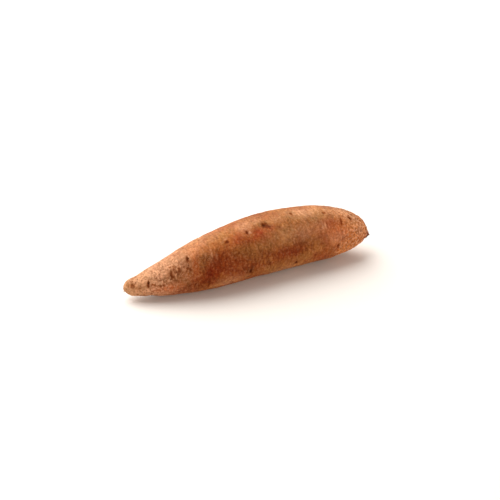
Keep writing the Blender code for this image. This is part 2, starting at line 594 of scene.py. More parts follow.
@dataclass
class SkinRelief:
    """The heights and stains of the skin, by formula, over the points of a mesh.

    Attributes:
        points: The mesh's points.
        axis: The root's axis.
        furrow: The height of the long shallow furrows, in millimetres.
        lump: The height of the small lumps, in millimetres.
        wrinkle: The height of the fine wrinkles across the root, in millimetres.
        crown_knob: The height of the crown's knobs, in millimetres.
        tail_rib: The height of the tail's ribs, in millimetres.
        wrinkle_least: What is left of the wrinkles where they are weakest, as a share.
        tail_least: What is left of the furrows, lumps and wrinkles on the tail, as a share.
        tip_least: What is left of all the relief at the two tips, as a share.
        tips: The shares of the length where the first tip ends and the last one starts.
        warp: How far the edges of the marks stray, in millimetres.
        coarse_stray: How far a zone's edge strays in broad waves, as a share of the length.
        fine_stray: How far it strays in small ones.
        crown_edge: The shares of the length between which the crown starts.
        tail_edge: The shares between which the tail ends.
        neck_edge: The shares between which the slim neck ends.
        scurf_edge: The shares between which the tail's scurf ends.
        tail_scurf: How much scurf the tail has, against the crown's.
        scurf_mean: The scurf's strength where the noise is at its middle.
        scurf_swing: How far the noise turns that strength up and down.
        scurf_least: The scurf everywhere, as a share.
        scar_from: The share of the length at which the stem's scar starts.
        scar_full: The share of the length at which it is at its darkest.
        scar_strength: How dark it is, from 0 to 1.
    """

    points: np.ndarray
    axis: RootAxis
    furrow: float = 0.35
    lump: float = 0.22
    wrinkle: float = 0.16
    crown_knob: float = 0.55
    tail_rib: float = 0.30
    wrinkle_least: float = 0.45
    tail_least: float = 0.5
    tip_least: float = 0.25
    tips: tuple[float, float] = (0.02, 0.97)
    warp: float = 0.7
    coarse_stray: float = 0.06
    fine_stray: float = 0.02
    crown_edge: tuple[float, float] = (0.79, 0.94)
    tail_edge: tuple[float, float] = (0.01, 0.11)
    neck_edge: tuple[float, float] = (0.07, 0.34)
    scurf_edge: tuple[float, float] = (0.06, 0.33)
    tail_scurf: float = 0.75
    scurf_mean: float = 0.85
    scurf_swing: float = 0.7
    scurf_least: float = 0.06
    scar_from: float = 0.984
    scar_full: float = 0.990
    scar_strength: float = 0.7

    def __post_init__(self) -> None:
        """Works out each point's place on the skin."""
        self.share = self.axis.share(self.points)
        self.angle = self.axis.angle(self.points)
        self.radius = self.axis.radius(self.points)
        self.length = self.axis.places[-1] - self.axis.places[0]
        self.warp_along = self.warp * noise_at(self.points, 3.5, 3.5, 11.0)
        self.warp_around = self.warp * noise_at(self.points, 3.5, 3.5, 37.0)

    def reach(self, spot: Spot) -> np.ndarray:
        """How much of a spot each point has.

        Args:
            spot: The spot.

        Returns:
            1 at its middle, falling to 0 outside it, with an uneven edge.
        """
        along = (self.share - spot.share) * self.length / MM + self.warp_along
        turn = (self.angle - spot.angle + 180) % 360 - 180
        around = np.radians(turn) * self.radius / MM + self.warp_around
        lean = math.radians(spot.slant)
        across = along * math.cos(lean) + around * math.sin(lean)
        down = around * math.cos(lean) - along * math.sin(lean)
        return np.exp(-((across / spot.along) ** 2) - (down / spot.around) ** 2)

    def zones(self) -> dict[Zone, np.ndarray]:
        """Works out how far each point belongs to each zone.

        Returns:
            A value from 0 to 1 for each zone and point.
        """
        ragged = self.share + self.fine_stray * noise_at(self.points, 6, 6, 5.0)
        ragged += self.coarse_stray * noise_at(self.points, 18, 18, 6.0)
        crown = smooth_step(ragged, *self.crown_edge)
        scurf = np.maximum(crown, self.tail_scurf * (1 - smooth_step(ragged, *self.scurf_edge)))
        scurf *= self.scurf_mean + self.scurf_swing * noise_at(self.points, 9, 9, 31.0)
        return {
            Zone.CROWN: crown,
            Zone.TAIL: 1 - smooth_step(ragged, *self.tail_edge),
            Zone.NECK: 1 - smooth_step(ragged, *self.neck_edge),
            Zone.SCURF: np.clip(scurf + self.scurf_least, 0, 1),
        }

    def stains(self, spots: list[Spot]) -> dict[Stain, np.ndarray]:
        """How much of each stain each point has; some stains carry painted shade and painted highlight as
        well.

        Args:
            spots: All the marks on the skin.

        Returns:
            A value from 0 to 1 for each stain and point.
        """
        clear = {stain: np.ones(len(self.points)) for stain in Stain}
        for spot in spots:
            clear[spot.stain] *= 1 - spot.strength * self.reach(spot)
        scar = smooth_step(self.share, self.scar_from, self.scar_full)
        clear[Stain.EARTH_AND_SHADE] *= 1 - self.scar_strength * scar
        return {stain: 1 - left for stain, left in clear.items()}

    def heights(self, spots: list[Spot]) -> np.ndarray:
        """How far each point stands out of the smooth solid.

        Args:
            spots: All the marks on the skin.

        Returns:
            Heights in metres, below 0 where the skin is sunk.
        """
        zones = self.zones()
        body = 1 - (1 - self.tail_least) * zones[Zone.TAIL]
        height = self.furrow * noise_at(self.points, 60, 12)
        height += self.lump * noise_at(self.points, 9, 9, 3.0)
        creased = smooth_step(noise_at(self.points, 22, 22, 8.0), -0.2, 0.5)
        creased = self.wrinkle_least + (1 - self.wrinkle_least) * creased
        height += self.wrinkle * creased * noise_at(self.points, 2.4, 11, 21.0)
        height *= body
        knobs = noise_at(self.points, 3.2, 3.2, 15.0) + 0.5 * noise_at(self.points, 1.8, 1.8, 16.0)
        height += self.crown_knob * zones[Zone.CROWN] * knobs
        ribs = noise_at(self.points, 7, 1.8, 9.0)
        height += self.tail_rib * zones[Zone.TAIL] * (ribs + 0.5 * knobs)
        first, last = self.tips
        inner = smooth_step(self.share, 0, first) * (1 - smooth_step(self.share, last, 1))
        height *= self.tip_least + (1 - self.tip_least) * inner
        for spot in spots:
            if spot.depth:
                height -= spot.depth * self.reach(spot)
        return height * MM


# Where a colour Mix node has its colours and its result
MIX_FIRST, MIX_SECOND, MIX_RESULT = 6, 7, 2
# The values between which nearly all of a noise texture lies
NOISE_SPAN = (0.3, 0.7)
# The specular level of dry root
SHEEN = 0.04


@dataclass(frozen=True)
class Cloud:
    """A cloudy pattern on the skin, stretched so that its denser parts show.

    Attributes:
        along: The size of its swells along the root, in millimetres.
        around: Their size across it, in millimetres.
        start: The noise at which the pattern starts to show.
        end: The noise at which it shows in full.
        low: The pattern's value before the start.
        high: Its value after the end.
        detail: How many finer layers it has.
        shift: How far it is moved, so that two of one size differ.
    """

    along: float
    around: float
    start: float
    end: float
    low: float = 0.0
    high: float = 1.0
    detail: float = 3.0
    shift: float = 0.0


class NodeSketch:
    """A material's node tree, with a short method for each kind of node that the finishes use."""

    def __init__(self, name: str) -> None:
        """Starts a material.

        Args:
            name: The material's name.
        """
        self.material = bpy.data.materials.new(name)
        self.material.use_nodes = True
        self.tree = self.material.node_tree
        self.shader = self.tree.nodes["Principled BSDF"]
        self.place = self.tree.nodes.new("ShaderNodeTexCoord").outputs["Object"]

    def feed(self, socket: bpy.types.NodeSocket, value: object) -> None:
        """Sets a socket, or joins another node's output to it.

        Args:
            socket: The socket.
            value: A number, a colour or an output.
        """
        if isinstance(value, bpy.types.NodeSocket):
            self.tree.links.new(value, socket)
        else:
            socket.default_value = value

    def node(
        self, kind: str, output: str | int, inputs: dict[str | int, object], **settings: str
    ) -> bpy.types.NodeSocket:
        """Adds a node.

        Args:
            kind: Its type's name, after ShaderNode.
            output: The output that is wanted.
            inputs: What each of its inputs is fed.
            settings: Its own settings.

        Returns:
            The output.
        """
        node = self.tree.nodes.new("ShaderNode" + kind)
        for name, value in settings.items():
            setattr(node, name, value)
        for name, value in inputs.items():
            self.feed(node.inputs[name], value)
        return node.outputs[output]

    def scaled(self, along: float, around: float, shift: float = 0.0) -> bpy.types.NodeSocket:
        """Scales the object coordinates.

        Args:
            along: What becomes one unit along the root, in millimetres.
            around: What becomes one unit across it, in millimetres.
            shift: How far the coordinates are moved, in those units.

        Returns:
            The scaled coordinates.
        """
        scale = (1 / (along * MM), 1 / (around * MM), 1 / (around * MM))
        inputs = {"Vector": self.place, "Location": (shift, shift, shift), "Scale": scale}
        return self.node("Mapping", "Vector", inputs)

    def noise(
        self, along: float, around: float, detail: float = 2.0, shift: float = 0.0
    ) -> bpy.types.NodeSocket:
        """Adds cloudy noise.

        Args:
            along: The size of its swells along the root, in millimetres.
            around: Their size across it, in millimetres.
            detail: How many finer layers it has.
            shift: How far the pattern is moved, so that two of one size differ.

        Returns:
            A value from 0 to 1, mostly near a half.
        """
        place = self.scaled(along, around, shift)
        inputs = {"Vector": place, "Scale": 1.0, "Detail": detail, "Roughness": 0.6}
        return self.node("TexNoise", "Fac", inputs)

    def cells(self, along: float, around: float) -> bpy.types.NodeSocket:
        """The distance to the nearest of many scattered points, as a share of the cells' size in mm."""
        return self.node("TexVoronoi", "Distance", {"Vector": self.scaled(along, around), "Scale": 1.0})

    def attribute(self, kind: Enum) -> bpy.types.NodeSocket:
        """The mesh attribute that a stain or a zone names."""
        return self.node("Attribute", "Fac", {}, attribute_name=kind.value)

    def stretch(
        self, value: bpy.types.NodeSocket, start: float, end: float, low: float = 0.0, high: float = 1.0
    ) -> bpy.types.NodeSocket:
        """Turns one range of values smoothly into another.

        Args:
            value: The value to turn.
            start: Where its range starts.
            end: Where its range ends.
            low: What the start becomes.
            high: What the end becomes.

        Returns:
            The turned value.
        """
        inputs = {"Value": value, "From Min": start, "From Max": end, "To Min": low, "To Max": high}
        return self.node("MapRange", "Result", inputs, interpolation_type="SMOOTHSTEP")

    def cloud(self, cloud: Cloud) -> bpy.types.NodeSocket:
        """The value of a cloudy pattern."""
        mist = self.noise(cloud.along, cloud.around, cloud.detail, cloud.shift)
        return self.stretch(mist, cloud.start, cloud.end, cloud.low, cloud.high)

    def reckon(self, operation: str, first: object, second: object) -> bpy.types.NodeSocket:
        """The result of one arithmetic operation, such as ADD or MULTIPLY, on two values."""
        return self.node("Math", "Value", {0: first, 1: second}, operation=operation)

    def mix(self, factor: object, first: object, second: object) -> bpy.types.NodeSocket:
        """Mixes two colours, with the factor's share of the second."""
        inputs = {"Factor": factor, MIX_FIRST: first, MIX_SECOND: second}
        return self.node("Mix", MIX_RESULT, inputs, data_type="RGBA")

    def shade(self, colour: object, amount: bpy.types.NodeSocket) -> bpy.types.NodeSocket:
        """Darkens or lightens a colour by a factor that varies over the surface."""
        return self.node("VectorMath", "Vector", {0: colour, "Scale": amount}, operation="SCALE")

    def deepen(self, colour: object, amount: bpy.types.NodeSocket) -> bpy.types.NodeSocket:
        """Raises a colour to a power that varies, so that it turns redder where it darkens."""
        return self.node("Gamma", "Color", {"Color": colour, "Gamma": amount})

    def bump(self, height: bpy.types.NodeSocket, depth: float, strength: float) -> None:
        """Roughens the surface with a pattern from 0 to 1, which goes a depth in millimetres deep."""
        inputs = {"Height": height, "Distance": depth * MM, "Strength": strength}
        self.feed(self.shader.inputs["Normal"], self.node("Bump", "Normal", inputs))


@dataclass(frozen=True)
class SkinFinish:
    """The dry, dusty, copper-orange skin, with its stains, and with painted shade and painted highlight in
    some of its patches.

    The tones come first. A shade is a factor on the colour, a power is what the colour is raised to, and
    each is the value at the low and at the high end of its pattern. An edge is where a pattern starts to
    show and where it shows in full. Sizes and depths are in millimetres, along the root and across it.
    """

    ember: Tone = Tone(190, 98, 50)
    copper: Tone = Tone(151, 83, 38)
    tan: Tone = Tone(171, 111, 59)
    russet: Tone = Tone(128, 56, 24)
    beige: Tone = Tone(184, 128, 94)
    # The olive, blush and earth tones also colour patches of painted shade, and the bloom tone patches of
    # painted highlight
    olive_and_shade: Tone = Tone(110, 78, 34)
    blush_and_shade: Tone = Tone(146, 42, 16)
    bloom_and_highlight: Tone = Tone(218, 166, 128)
    earth_and_shade: Tone = Tone(100, 44, 8)
    bark: Tone = Tone(106, 44, 10)
    pit_and_shade: Tone = Tone(62, 24, 0)
    crown: Tone = Tone(219, 139, 76)
    tail: Tone = Tone(172, 122, 72)

    tan_areas: Cloud = Cloud(30, 18, 0.35, 0.65, detail=2.0)
    blotches: Cloud = Cloud(10, 7, 0.46, 0.66, high=0.55)
    mould: Cloud = Cloud(5, 6, 0.48, 0.68, high=0.40, shift=3.0)
    broken: Cloud = Cloud(2.2, 3.4, 0.32, 0.68, low=0.45)
    scales: Cloud = Cloud(1.9, 2.4, 0.50, 0.62, high=0.70, detail=2.0, shift=7.0)
    grains: Cloud = Cloud(1.8, 2.0, 0.49, 0.60, high=0.80, detail=2.0, shift=12.0)
    dust: Cloud = Cloud(1.9, 2.8, 0.50, 0.66, high=0.12, detail=2.0, shift=20.0)

    fleck_size: tuple[float, float] = (4.6, 5.2)
    fleck_edge: tuple[float, float] = (0.08, 0.24)
    fleck_strength: float = 0.35
    earth_and_shade_power: float = 1.5
    pit_and_shade_power: float = 1.6
    pit_and_shade_power_edge: tuple[float, float] = (0.0, 0.5)
    pit_and_shade_rim_edge: tuple[float, float] = (0.05, 0.45)
    pit_and_shade_rim_strength: float = 0.55
    pit_heart_edge: tuple[float, float] = (0.40, 0.95)
    pit_heart_strength: float = 0.85

    grain_size: tuple[float, float] = (1.8, 1.8)
    grain_shade: tuple[float, float] = (0.86, 1.14)
    grain_power: tuple[float, float] = (1.10, 0.97)
    streak_size: tuple[float, float] = (1.8, 7.0)
    streak_shade: tuple[float, float] = (0.86, 1.12)
    roughness: tuple[float, float] = (0.50, 0.68)
    knob_size: tuple[float, float] = (2.0, 2.0)
    streak_rise: float = 0.6
    grain_rise: float = 0.35
    bump_depth: float = 0.5
    bump_strength: float = 0.5

    def material(self) -> bpy.types.Material:
        """Builds the skin's material.

        Returns:
            The material.
        """
        sketch = NodeSketch("skin")
        grain = sketch.noise(*self.grain_size, detail=3.0)
        streaks = sketch.noise(*self.streak_size, detail=3.0)
        colour = self.ground(sketch)
        colour = self.stained(sketch, colour)
        colour = self.speckled(sketch, colour)
        colour = sketch.shade(colour, sketch.stretch(streaks, *NOISE_SPAN, *self.streak_shade))
        colour = sketch.shade(colour, sketch.stretch(grain, *NOISE_SPAN, *self.grain_shade))
        colour = sketch.deepen(colour, sketch.stretch(grain, *NOISE_SPAN, *self.grain_power))
        colour = self.pitted(sketch, colour)
        sketch.feed(sketch.shader.inputs["Base Color"], colour)
        self.surface(sketch, grain, streaks)
        return sketch.material

    def ground(self, sketch: NodeSketch) -> bpy.types.NodeSocket:
        """The skin's own colour, before its stains.

        Args:
            sketch: The material's node tree.

        Returns:
            The colour.
        """
        colour = sketch.mix(sketch.cloud(self.tan_areas), self.copper.linear(), self.tan.linear())
        colour = sketch.mix(sketch.attribute(Zone.NECK), colour, self.beige.linear())
        colour = sketch.mix(sketch.attribute(Zone.CROWN), colour, self.crown.linear())
        colour = sketch.mix(sketch.attribute(Zone.TAIL), colour, self.tail.linear())
        colour = sketch.mix(sketch.cloud(self.blotches), colour, self.russet.linear())
        return sketch.mix(sketch.cloud(self.mould), colour, self.olive_and_shade.linear())

    def stained(self, sketch: NodeSketch, colour: bpy.types.NodeSocket) -> bpy.types.NodeSocket:
        """The skin's colour with its patches: stains, painted shade and painted highlight.

        Args:
            sketch: The material's node tree.
            colour: The colour before them.

        Returns:
            The colour with them.
        """
        broken = sketch.cloud(self.broken)
        dark = sketch.reckon("MULTIPLY", sketch.attribute(Stain.EARTH_AND_SHADE), broken)
        colour = sketch.deepen(colour, sketch.stretch(dark, 0, 1, 1, self.earth_and_shade_power))
        patches = (
            (Stain.EMBER, self.ember),
            (Stain.BLUSH_AND_SHADE, self.blush_and_shade),
            (Stain.OLIVE_AND_SHADE, self.olive_and_shade),
            (Stain.EARTH_AND_SHADE, self.earth_and_shade),
            (Stain.BLOOM, self.bloom_and_highlight),
        )
        for stain, tone in patches:
            amount = sketch.reckon("MULTIPLY", sketch.attribute(stain), broken)
            colour = sketch.mix(amount, colour, tone.linear())
        return colour

    def speckled(self, sketch: NodeSketch, colour: bpy.types.NodeSocket) -> bpy.types.NodeSocket:
        """The skin's colour with its flecks, scales and dust.

        Args:
            sketch: The material's node tree.
            colour: The colour before them.

        Returns:
            The colour with them.
        """
        flecks = sketch.stretch(sketch.cells(*self.fleck_size), *self.fleck_edge, self.fleck_strength, 0)
        colour = sketch.mix(flecks, colour, self.earth_and_shade.linear())
        scurf = sketch.attribute(Zone.SCURF)
        for cloud, tone in ((self.scales, self.bark), (self.grains, self.bloom_and_highlight)):
            amount = sketch.reckon("MULTIPLY", sketch.cloud(cloud), scurf)
            colour = sketch.mix(amount, colour, tone.linear())
        return sketch.mix(sketch.cloud(self.dust), colour, self.bloom_and_highlight.linear())

    def pitted(self, sketch: NodeSketch, colour: bpy.types.NodeSocket) -> bpy.types.NodeSocket:
        """The skin's colour with its eyes and creases, each an earthy rim round a dark heart, and with the
        faint painted shade of the wide pit patches on the front.

        Args:
            sketch: The material's node tree.
            colour: The colour before them.

        Returns:
            The colour with them.
        """
        pit_and_shade = sketch.attribute(Stain.PIT_AND_SHADE)
        colour = sketch.deepen(colour, sketch.stretch(pit_and_shade, *self.pit_and_shade_power_edge, 1, self.pit_and_shade_power))
        rim = sketch.stretch(pit_and_shade, *self.pit_and_shade_rim_edge, 0, self.pit_and_shade_rim_strength)
        colour = sketch.mix(rim, colour, self.earth_and_shade.linear())
        heart = sketch.stretch(pit_and_shade, *self.pit_heart_edge, 0, self.pit_heart_strength)
        return sketch.mix(heart, colour, self.pit_and_shade.linear())

    def surface(
        self, sketch: NodeSketch, grain: bpy.types.NodeSocket, streaks: bpy.types.NodeSocket
    ) -> None:
        """Sets how the skin catches the light.

        Args:
            sketch: The material's node tree.
            grain: The fine grain.
            streaks: The fine wrinkles across the root.
        """
        knobs = sketch.noise(*self.knob_size)
        crown = sketch.reckon("MULTIPLY", sketch.attribute(Zone.CROWN), knobs)
        height = sketch.reckon("ADD", sketch.reckon("MULTIPLY", streaks, self.streak_rise), crown)
        height = sketch.reckon("ADD", height, sketch.reckon("MULTIPLY", grain, self.grain_rise))
        sketch.bump(height, self.bump_depth, self.bump_strength)
        shader = sketch.shader
        sketch.feed(shader.inputs["Roughness"], sketch.stretch(grain, *NOISE_SPAN, *self.roughness))
        shader.inputs["Specular IOR Level"].default_value = SHEEN


def placed(name: str, data: bpy.types.ID) -> bpy.types.Object:
    """Puts an object into the scene.

    Args:
        name: The object's name.
        data: Its mesh, light or camera.

    Returns:
        The object.
    """
    made = bpy.data.objects.new(name, data)
    bpy.context.scene.collection.objects.link(made)
    return made


def finished_piece(name: str, mesh: bpy.types.Mesh, material: bpy.types.Material) -> bpy.types.Object:
    """Turns a mesh into a piece that rides on the root.

    Args:
        name: The piece's name.
        mesh: Its mesh, in place.
        material: Its material.

    Returns:
        The piece.
    """
    mesh.shade_smooth()
    mesh.materials.append(material)
    piece = placed(name, mesh)
    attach(piece, BODY)
    return piece


def modelled_mesh(name: str, bm: bmesh.types.BMesh) -> bpy.types.Mesh:
    """Makes a mesh from a modelled shape, with its faces outwards.

    Args:
        name: The mesh's name.
        bm: The shape. It is freed here.

    Returns:
        The mesh.
    """
    bmesh.ops.recalc_face_normals(bm, faces=bm.faces)
    mesh = bpy.data.meshes.new(name)
    bm.to_mesh(mesh)
    bm.free()
    return mesh


@dataclass
class RootBody:
    """The whole root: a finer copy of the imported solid, with its relief and stains.

    Attributes:
        node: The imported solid's object.
        axis: The root's axis.
        marks: All the marks on the skin.
        finish: The skin's finish.
        levels: How many times the solid's faces are divided.
        weld: How near two points are one, in metres.
        flat: How far the two triangles of a quad may lean to each other, in degrees.
        square: How far a quad's corners may be off a right angle, in degrees.
    """

    node: bpy.types.Object
    axis: RootAxis
    marks: list[Spot]
    finish: SkinFinish
    levels: int = 2
    weld: float = 0.00002
    flat: float = 60
    square: float = 80

    def cage(self) -> bpy.types.Object:
        """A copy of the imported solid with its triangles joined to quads.

        Returns:
            The copy, with a live Subdivision Surface modifier.
        """
        bm = bmesh.new()
        bm.from_mesh(self.node.data)
        bmesh.ops.remove_doubles(bm, verts=bm.verts, dist=self.weld)
        bmesh.ops.join_triangles(
            bm,
            faces=bm.faces,
            angle_face_threshold=math.radians(self.flat),
            angle_shape_threshold=math.radians(self.square),
        )
        mesh = bpy.data.meshes.new("root_cage")
        bm.to_mesh(mesh)
        bm.free()
        cage = placed("root_cage", mesh)
        smooth = cage.modifiers.new("smooth", "SUBSURF")
        smooth.levels = self.levels
        smooth.render_levels = self.levels
        return cage

    def fine_mesh(self) -> bpy.types.Mesh:
        """Divides the cage's faces.

        Returns:
            The fine mesh, on its own and without a material.
        """
        cage = self.cage()
        graph = bpy.context.evaluated_depsgraph_get()
        mesh = bpy.data.meshes.new_from_object(cage.evaluated_get(graph))
        bpy.data.objects.remove(cage)
        mesh.name = "root_skin"
        mesh.materials.clear()
        return mesh

    def build(self) -> bpy.types.Object:
        """Makes the root's skin.

        Returns:
            The finished piece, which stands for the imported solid.
        """
        mesh = self.fine_mesh()
        points = np.empty(3 * len(mesh.vertices))
        normals = np.empty_like(points)
        mesh.vertices.foreach_get("co", points)
        mesh.vertex_normals.foreach_get("vector", normals)
        points = points.reshape(-1, 3)
        relief = SkinRelief(points, self.axis)
        for kind, values in {**relief.stains(self.marks), **relief.zones()}.items():
            layer = mesh.attributes.new(kind.value, "FLOAT", "POINT")
            layer.data.foreach_set("value", values.astype(np.float32))
        points = points + normals.reshape(-1, 3) * relief.heights(self.marks)[:, None]
        points[:, 2] = np.maximum(points[:, 2], 0)
        mesh.vertices.foreach_set("co", points.ravel())
        skin = finished_piece("root_skin", mesh, self.finish.material())
        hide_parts(NODE)
        return skin


@dataclass(frozen=True)
class WoodFinish:
    """Dry, fibrous root wood.

    Attributes:
        name: The material's name.
        bark: The fibres' colour.
        char: The colour of the gaps between them.
        fibre_size: The fibres' length and width, in millimetres.
        fibre_edge: The noise at which a gap ends, and the noise at which the full fibre starts.
        roughness: How matt it is, from 0 to 1.
        bump_depth: How deep the gaps go, in millimetres.
        bump_strength: How strongly they show, from 0 to 1.
    """

    name: str
    bark: Tone
    char: Tone
    fibre_size: tuple[float, float] = (1.6, 0.5)
    fibre_edge: tuple[float, float] = (0.35, 0.62)
    roughness: float = 0.85
    bump_depth: float = 0.3
    bump_strength: float = 0.7

    def material(self) -> bpy.types.Material:
        """Builds the wood's material.

        Returns:
            The material.
        """
        sketch = NodeSketch(self.name)
        fibres = sketch.noise(*self.fibre_size, detail=3.0)
        amount = sketch.stretch(fibres, *self.fibre_edge)
        colour = sketch.mix(amount, self.char.linear(), self.bark.linear())
        sketch.feed(sketch.shader.inputs["Base Color"], colour)
        sketch.shader.inputs["Roughness"].default_value = self.roughness
        sketch.shader.inputs["Specular IOR Level"].default_value = SHEEN
        sketch.bump(fibres, self.bump_depth, self.bump_strength)
        return sketch.material


DARK_WOOD = WoodFinish("dark_wood", bark=Tone(66, 34, 14), char=Tone(26, 10, 2))
PALE_WOOD = WoodFinish("pale_wood", bark=Tone(186, 138, 92), char=Tone(118, 78, 42))


@dataclass
class TornEnd:
    """A torn woody end: a short core with a sunk pith, and a ring of broken fibres round it.

    Attributes:
        name: The piece's name.
        foot: The middle of its base, inside the root.
        way: The direction in which it points.
        radius: The core's radius, in millimetres.
        length: The core's length from its foot, in millimetres.
        fibres: How many fibres stand round it.
        seed: The seed of its random draws.
        sides: How many sides the core has.
        taper: The core's radius at its end, as a share of that at its foot.
        ragged: How far its rim rises and falls, in millimetres.
        pith: The steps of its sunk pith: how far in and how far down, as shares of the radius.
        ring: The least and the most that the fibres stand from the middle, as shares of the radius.
        rooted: How deep the fibres stand in the core, in millimetres.
        showing: The least and the most that they stand out of it, in millimetres.
        spread: The least and the most that they lean outwards, in degrees.
        thickness: Their least and greatest radius at the foot, in millimetres.
        tip: Their radius at the tip, in millimetres.
    """

    name: str
    foot: Vector
    way: Vector
    radius: float
    length: float
    fibres: int
    seed: int
    sides: int = 22
    taper: float = 0.8
    ragged: float = 0.5
    pith: tuple[tuple[float, float], ...] = ((0.22, 0.10), (0.40, 0.35), (0.30, 0.15))
    ring: tuple[float, float] = (0.72, 1.02)
    rooted: float = 1.5
    showing: tuple[float, float] = (0.5, 1.5)
    spread: tuple[float, float] = (-6, 26)
    thickness: tuple[float, float] = (0.28, 0.48)
    tip: float = 0.10

    def core(self, bm: bmesh.types.BMesh, draw: random.Random) -> None:
        """Adds the core, with its ragged rim and its sunk pith.

        Args:
            bm: The shape that it is added to.
            draw: The source of the random draws.
        """
        bmesh.ops.create_cone(
            bm,
            cap_ends=True,
            segments=self.sides,
            radius1=self.radius,
            radius2=self.taper * self.radius,
            depth=self.length,
            matrix=Matrix.Translation((0, 0, self.length / 2)),
        )
        top = max(bm.faces, key=lambda face: face.calc_center_median().z)
        rim = list(top.verts)
        for share, drop in self.pith:
            bmesh.ops.inset_region(bm, faces=[top], thickness=share * self.radius, use_even_offset=True)
            bmesh.ops.translate(bm, verts=top.verts, vec=(0, 0, -drop * self.radius))
        for vertex in rim:
            vertex.co.z += draw.uniform(-self.ragged, self.ragged)

    def fibre(self, bm: bmesh.types.BMesh, number: int, draw: random.Random) -> None:
        """Adds one broken fibre of the ring.

        Args:
            bm: The shape that it is added to.
            number: Its number in the ring.
            draw: The source of the random draws.
        """
        turn = math.radians(number * GOLDEN_ANGLE)
        reach = self.radius * draw.uniform(*self.ring)
        height = draw.uniform(*self.showing) + self.rooted
        hinge = Vector((-math.sin(turn), math.cos(turn), 0))
        lean = Matrix.Rotation(math.radians(draw.uniform(*self.spread)), 4, hinge)
        foot = Matrix.Translation((reach * math.cos(turn), reach * math.sin(turn), self.length - self.rooted))
        bmesh.ops.create_cone(
            bm,
            cap_ends=True,
            segments=5,
            radius1=draw.uniform(*self.thickness),
            radius2=self.tip,
            depth=height,
            matrix=foot @ lean @ Matrix.Translation((0, 0, height / 2)),
        )

    def build(self, material: bpy.types.Material) -> bpy.types.Object:
        """Makes the torn end.

        Args:
            material: Its material.

        Returns:
            The finished piece.
        """
        draw = random.Random(self.seed)
        bm = bmesh.new()
        self.core(bm, draw)
        for number in range(self.fibres):
            self.fibre(bm, number, draw)
        turned = self.way.to_track_quat("Z", "Y").to_matrix().to_4x4()
        place = Matrix.Translation(self.foot) @ turned @ Matrix.Scale(MM, 4)
        bmesh.ops.transform(bm, matrix=place, verts=bm.verts)
        return finished_piece(self.name, modelled_mesh(self.name, bm), material)


@dataclass
class Rootlets:
    """The broken rootlets in the deeper eyes, one or two in each.

    Attributes:
        skin: The root's skin, which they stand on.
        axis: The root's axis.
        marks: All the marks on the skin, the eyes among them.
        depth: The least depth of an eye that holds one, in millimetres.
        sunk: How deep each is rooted, in millimetres.
        belly: The height below which there are none, in metres.
        seed: The seed of their random draws.
        stray: How far each stands from the eye's middle at most, as a share of the root's length.
        slope: The least and the most that each leans, as a slope.
        length: The least and the greatest length, in millimetres.
        thickness: The least and the greatest radius at the foot, in millimetres.
        tip: The radius at the tip, in millimetres.
    """

    skin: bpy.types.Object
    axis: RootAxis
    marks: list[Spot]
    depth: float = 0.5
    sunk: float = 0.5
    belly: float = 0.005
    seed: int = 5
    stray: float = 0.004
    slope: tuple[float, float] = (0.3, 1.2)
    length: tuple[float, float] = (1.0, 2.2)
    thickness: tuple[float, float] = (0.25, 0.42)
    tip: float = 0.12

    def rootlet(self, bm: bmesh.types.BMesh, spot: Spot, draw: random.Random) -> None:
        """Adds one short slanted rootlet near the middle of an eye.

        Args:
            bm: The shape that it is added to.
            spot: The eye.
            draw: The source of the random draws.
        """
        share = spot.share + draw.uniform(-self.stray, self.stray)
        _, place, normal, _ = self.skin.closest_point_on_mesh(self.axis.point(share, spot.angle))
        if place.z < self.belly:
            return
        side = normal.orthogonal().normalized() * draw.choice((-1, 1))
        way = (normal + side * draw.uniform(*self.slope)).normalized()
        length = draw.uniform(*self.length)
        foot = draw.uniform(*self.thickness)
        made = bmesh.ops.create_cone(
            bm, cap_ends=True, segments=6, radius1=foot, radius2=self.tip, depth=length
        )
        bmesh.ops.translate(bm, verts=made["verts"], vec=(0, 0, length / 2 - self.sunk))
        turned = way.to_track_quat("Z", "Y").to_matrix().to_4x4()
        matrix = Matrix.Translation(place) @ turned @ Matrix.Scale(MM, 4)
        bmesh.ops.transform(bm, matrix=matrix, verts=made["verts"])

    def build(self, material: bpy.types.Material) -> bpy.types.Object:
        """Makes all the rootlets as one piece.

        Args:
            material: Their material.

        Returns:
            The finished piece.
        """
        draw = random.Random(self.seed)
        bm = bmesh.new()
        for spot in self.marks:
            if spot.stain is Stain.PIT_AND_SHADE and spot.depth >= self.depth:
                for _ in range(draw.choice((1, 1, 2))):
                    self.rootlet(bm, spot, draw)
        return finished_piece("rootlets", modelled_mesh("rootlets", bm), material)


@dataclass(frozen=True)
class FloorFinish:
    """Matt white paper that glows: faintly near the root, as painted light that lightens the root's shadow,
    and fully in the distance, so that it stays evenly white.

    Attributes:
        paper: Its colour.
        lit_from: How far from the root its glow starts to rise, in metres.
        lit_fully: How far from the root the glow is full, in metres.
        near_glow: The glow's strength near the root, painted light that lightens the root's shadow.
        far_glow: Its strength in the distance.
        roughness: How matt it is, from 0 to 1.
        sheen: Its specular level.
    """

    paper: Tone = Tone(224, 221, 217)
    lit_from: float = 0.7
    lit_fully: float = 2.5
    near_glow: float = 0.08
    far_glow: float = 1.00
    roughness: float = 0.9
    sheen: float = 0.1

    def material(self) -> bpy.types.Material:
        """Builds the paper's material.

        Returns:
            The material.
        """
        sketch = NodeSketch("paper")
        sketch.shader.inputs["Base Color"].default_value = self.paper.linear()
        sketch.shader.inputs["Roughness"].default_value = self.roughness
        sketch.shader.inputs["Specular IOR Level"].default_value = self.sheen
        away = sketch.node("VectorMath", "Value", {0: sketch.place}, operation="LENGTH")
        glow = sketch.stretch(away, self.lit_from, self.lit_fully, self.near_glow, self.far_glow)
        sketch.shader.inputs["Emission Color"].default_value = self.paper.linear()
        sketch.feed(sketch.shader.inputs["Emission Strength"], glow)
        return sketch.material


